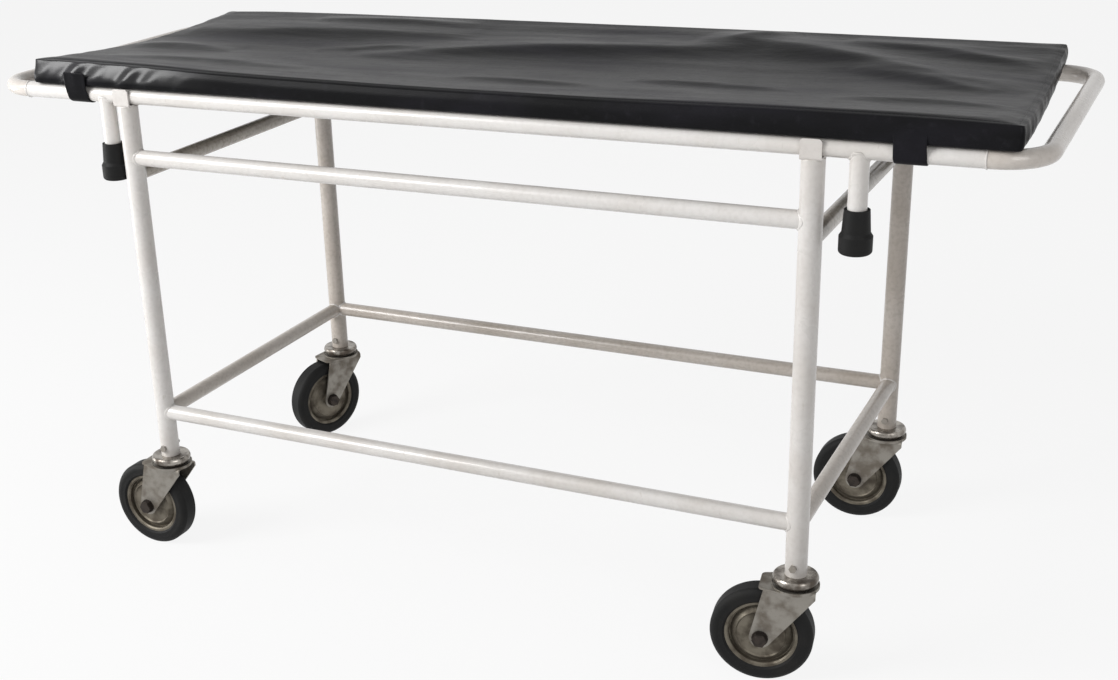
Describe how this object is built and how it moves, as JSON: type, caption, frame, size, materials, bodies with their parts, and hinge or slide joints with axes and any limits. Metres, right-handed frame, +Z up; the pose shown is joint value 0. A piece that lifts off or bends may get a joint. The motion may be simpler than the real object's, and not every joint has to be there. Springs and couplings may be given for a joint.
{
  "type": "stretcher trolley",
  "caption": "Tubular trolley on swivel castors with open saddles that carry a lift-off stretcher, its looped end handles, rubber feet and a sagging padded top.",
  "frame": {"origin": "on the floor, below the middle of the stretcher", "axes": "+X along the trolley towards the right handle, +Y across it towards the rear side, +Z up"},
  "size_m": [1.6694, 0.6397, 0.843],
  "materials": {
    "frame_paint": "gloss warm white powder coat",
    "stretcher_paint": "gloss warm white powder coat",
    "fastener_steel": "dulled zinc plate",
    "bright_zinc": "bright plated",
    "bearing_steel": "greased steel",
    "fork_zinc": "dull zinc plated pressing",
    "rim_steel": "satin grey plated pressing",
    "tyre_rubber": "matt black solid rubber",
    "foot_rubber": "matt black moulded rubber",
    "pad_cover": "black leathercloth with a soft sheen",
    "loop_cloth": "black coated cloth"
  },
  "bodies": {
    "trolley": {"leg_front_left": "frame_paint", "leg_front_right": "frame_paint", "leg_rear_left": "frame_paint", "leg_rear_right": "frame_paint", "upper_rail_front": "frame_paint", "upper_rail_rear": "frame_paint", "upper_rail_left": "frame_paint", "upper_rail_right": "frame_paint", "lower_rail_front": "frame_paint", "lower_rail_rear": "frame_paint", "lower_rail_left": "frame_paint", "lower_rail_right": "frame_paint", "saddle_front_left": "frame_paint", "saddle_front_right": "frame_paint", "saddle_rear_left": "frame_paint", "saddle_rear_right": "frame_paint", "leg_bolts": "fastener_steel", "castor_stem_front_left": "bright_zinc", "castor_stem_front_right": "bright_zinc", "castor_stem_rear_left": "bright_zinc", "castor_stem_rear_right": "bright_zinc"},
    "stretcher": {"side_tube_front": "stretcher_paint", "side_tube_rear": "stretcher_paint", "handle_left": "stretcher_paint", "handle_right": "stretcher_paint", "cross_slats": "stretcher_paint", "foot_tube_front_left": "stretcher_paint", "foot_tube_front_right": "stretcher_paint", "foot_tube_rear_left": "stretcher_paint", "foot_tube_rear_right": "stretcher_paint", "foot_ferrule_front_left": "foot_rubber", "foot_ferrule_front_right": "foot_rubber", "foot_ferrule_rear_left": "foot_rubber", "foot_ferrule_rear_right": "foot_rubber", "pad": "pad_cover", "pad_loop_front_left": "loop_cloth", "pad_loop_front_right": "loop_cloth", "pad_loop_rear_left": "loop_cloth", "pad_loop_rear_right": "loop_cloth"},
    "fork_front_left": {"castor_fork_front_left": "fork_zinc", "castor_axle_front_left": "fastener_steel", "castor_race_front_left": "bearing_steel"},
    "wheel_front_left": {"castor_rim_front_left": "rim_steel", "castor_tyre_front_left": "tyre_rubber"},
    "fork_front_right": {"castor_fork_front_right": "fork_zinc", "castor_axle_front_right": "fastener_steel", "castor_race_front_right": "bearing_steel"},
    "wheel_front_right": {"castor_rim_front_right": "rim_steel", "castor_tyre_front_right": "tyre_rubber"},
    "fork_rear_left": {"castor_fork_rear_left": "fork_zinc", "castor_axle_rear_left": "fastener_steel", "castor_race_rear_left": "bearing_steel"},
    "wheel_rear_left": {"castor_rim_rear_left": "rim_steel", "castor_tyre_rear_left": "tyre_rubber"},
    "fork_rear_right": {"castor_fork_rear_right": "fork_zinc", "castor_axle_rear_right": "fastener_steel", "castor_race_rear_right": "bearing_steel"},
    "wheel_rear_right": {"castor_rim_rear_right": "rim_steel", "castor_tyre_rear_right": "tyre_rubber"}
  },
  "joints": [
    {"name": "stretcher_lift", "type": "slide", "parent": "trolley", "child": "stretcher", "axis": [0, 0, 1], "range_m": [0, 0.25]},
    {"name": "swivel_front_left", "type": "hinge", "parent": "trolley", "child": "fork_front_left", "pos_m": [-0.56, -0.28, 0.16], "axis": [0, 0, 1], "continuous": true},
    {"name": "roll_front_left", "type": "hinge", "parent": "fork_front_left", "child": "wheel_front_left", "pos_m": [-0.60499, -0.27921, 0.075], "axis": [0.0175, 0.9998, 0], "continuous": true},
    {"name": "swivel_front_right", "type": "hinge", "parent": "trolley", "child": "fork_front_right", "pos_m": [0.54, -0.28, 0.16], "axis": [0, 0, 1], "continuous": true},
    {"name": "roll_front_right", "type": "hinge", "parent": "fork_front_right", "child": "wheel_front_right", "pos_m": [0.49555, -0.28704, 0.075], "axis": [-0.1564, 0.9877, 0], "continuous": true},
    {"name": "swivel_rear_left", "type": "hinge", "parent": "trolley", "child": "fork_rear_left", "pos_m": [-0.56, 0.28, 0.16], "axis": [0, 0, 1], "continuous": true},
    {"name": "roll_rear_left", "type": "hinge", "parent": "fork_rear_left", "child": "wheel_rear_left", "pos_m": [-0.57758, 0.23858, 0.075], "axis": [-0.9205, 0.3907, 0], "continuous": true},
    {"name": "swivel_rear_right", "type": "hinge", "parent": "trolley", "child": "fork_rear_right", "pos_m": [0.54, 0.28, 0.16], "axis": [0, 0, 1], "continuous": true},
    {"name": "roll_rear_right", "type": "hinge", "parent": "fork_rear_right", "child": "wheel_rear_right", "pos_m": [0.49503, 0.27843, 0.075], "axis": [-0.0349, 0.9994, 0], "continuous": true}
  ]
}
